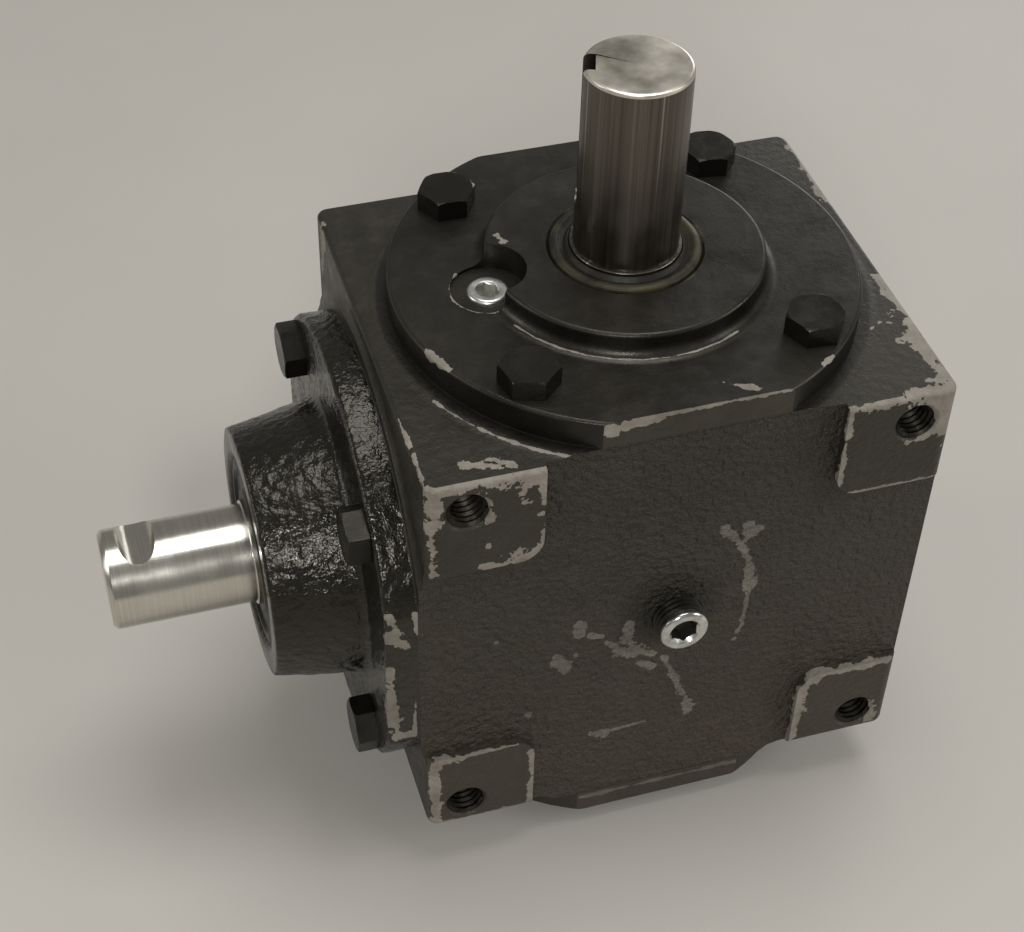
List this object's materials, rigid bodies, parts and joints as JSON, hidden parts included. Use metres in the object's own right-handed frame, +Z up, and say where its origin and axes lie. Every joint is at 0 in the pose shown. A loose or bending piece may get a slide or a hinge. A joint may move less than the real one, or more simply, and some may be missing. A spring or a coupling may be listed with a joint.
{
  "type": "right angle gear reducer",
  "caption": "Cast iron right angle bevel gear reducer: flanged block housing with tapped front pads, keyed upright output shaft and notched side input shaft.",
  "frame": {"origin": "centre of the four tapped holes, on the plane of the front mounting pads", "axes": "+Z up along the output shaft, -X out along the input shaft, -Y out of the mounting pads"},
  "size_m": [0.1973, 0.1108, 0.2021],
  "materials": {
    "cast_black": "satin black paint over rough cast iron, chipped at the edges",
    "bolt_black": "satin black paint with worn corners",
    "ground_steel": "ground bright",
    "aged_steel": "turned, slightly browned",
    "gear_steel": "cut, oiled",
    "mild_steel": "turned",
    "spring_steel": "phosphated",
    "shim_steel": "rolled",
    "seal_rubber": "grease-stained rubber",
    "zinc_plug": "bright zinc plate",
    "bearing_steel": "ground and polished",
    "cage_steel": "pressed"
  },
  "bodies": {
    "case": {"housing": "cast_black", "output_cover": "cast_black", "blind_cover": "cast_black", "input_quill": "cast_black", "output_cover_bolts": "bolt_black", "blind_cover_bolts": "bolt_black", "input_quill_bolts": "bolt_black", "output_cover_shim": "shim_steel", "blind_cover_shim": "shim_steel", "input_quill_shim": "shim_steel", "output_seal": "seal_rubber", "input_seal": "seal_rubber", "fill_plug": "zinc_plug", "level_plug": "zinc_plug", "upper_bearing_cup": "bearing_steel", "lower_bearing_cup": "bearing_steel", "inner_bearing_cup": "bearing_steel", "outer_bearing_cup": "bearing_steel"},
    "output": {"output_shaft": "aged_steel", "bevel_gear": "gear_steel", "gear_key": "mild_steel", "distance_sleeve": "mild_steel", "upper_bearing_cone": "bearing_steel", "lower_bearing_cone": "bearing_steel"},
    "input": {"input_shaft": "ground_steel", "bevel_pinion": "gear_steel", "pinion_key": "mild_steel", "pinion_washer": "mild_steel", "pinion_screw": "mild_steel", "retaining_ring": "spring_steel", "inner_bearing_cone": "bearing_steel", "outer_bearing_cone": "bearing_steel"},
    "upper_rollers": {"upper_bearing_rollers": "bearing_steel", "upper_bearing_cage": "cage_steel"},
    "lower_rollers": {"lower_bearing_rollers": "bearing_steel", "lower_bearing_cage": "cage_steel"},
    "inner_rollers": {"inner_bearing_rollers": "bearing_steel", "inner_bearing_cage": "cage_steel"},
    "outer_rollers": {"outer_bearing_rollers": "bearing_steel", "outer_bearing_cage": "cage_steel"}
  },
  "joints": [
    {"name": "output_spin", "type": "hinge", "parent": "case", "child": "output", "pos_m": [0, 0.05479, 0], "axis": [0, 0, 1], "continuous": true},
    {"name": "input_spin", "type": "hinge", "parent": "case", "child": "input", "pos_m": [0, 0.05479, -0.0027], "axis": [1, 0, 0], "continuous": true},
    {"name": "upper_rollers_spin", "type": "hinge", "parent": "case", "child": "upper_rollers", "pos_m": [0, 0.05479, 0], "axis": [0, 0, 1], "continuous": true},
    {"name": "lower_rollers_spin", "type": "hinge", "parent": "case", "child": "lower_rollers", "pos_m": [0, 0.05479, 0], "axis": [0, 0, 1], "continuous": true},
    {"name": "inner_rollers_spin", "type": "hinge", "parent": "case", "child": "inner_rollers", "pos_m": [0, 0.05479, -0.0027], "axis": [1, 0, 0], "continuous": true},
    {"name": "outer_rollers_spin", "type": "hinge", "parent": "case", "child": "outer_rollers", "pos_m": [0, 0.05479, -0.0027], "axis": [1, 0, 0], "continuous": true}
  ],
  "couplings": [
    {"joint": "input_spin", "follows": "output_spin", "ratio": -1.5},
    {"joint": "upper_rollers_spin", "follows": "output_spin", "ratio": 0.4242},
    {"joint": "lower_rollers_spin", "follows": "output_spin", "ratio": 0.4242},
    {"joint": "inner_rollers_spin", "follows": "output_spin", "ratio": -0.6363},
    {"joint": "outer_rollers_spin", "follows": "output_spin", "ratio": -0.6363}
  ]
}
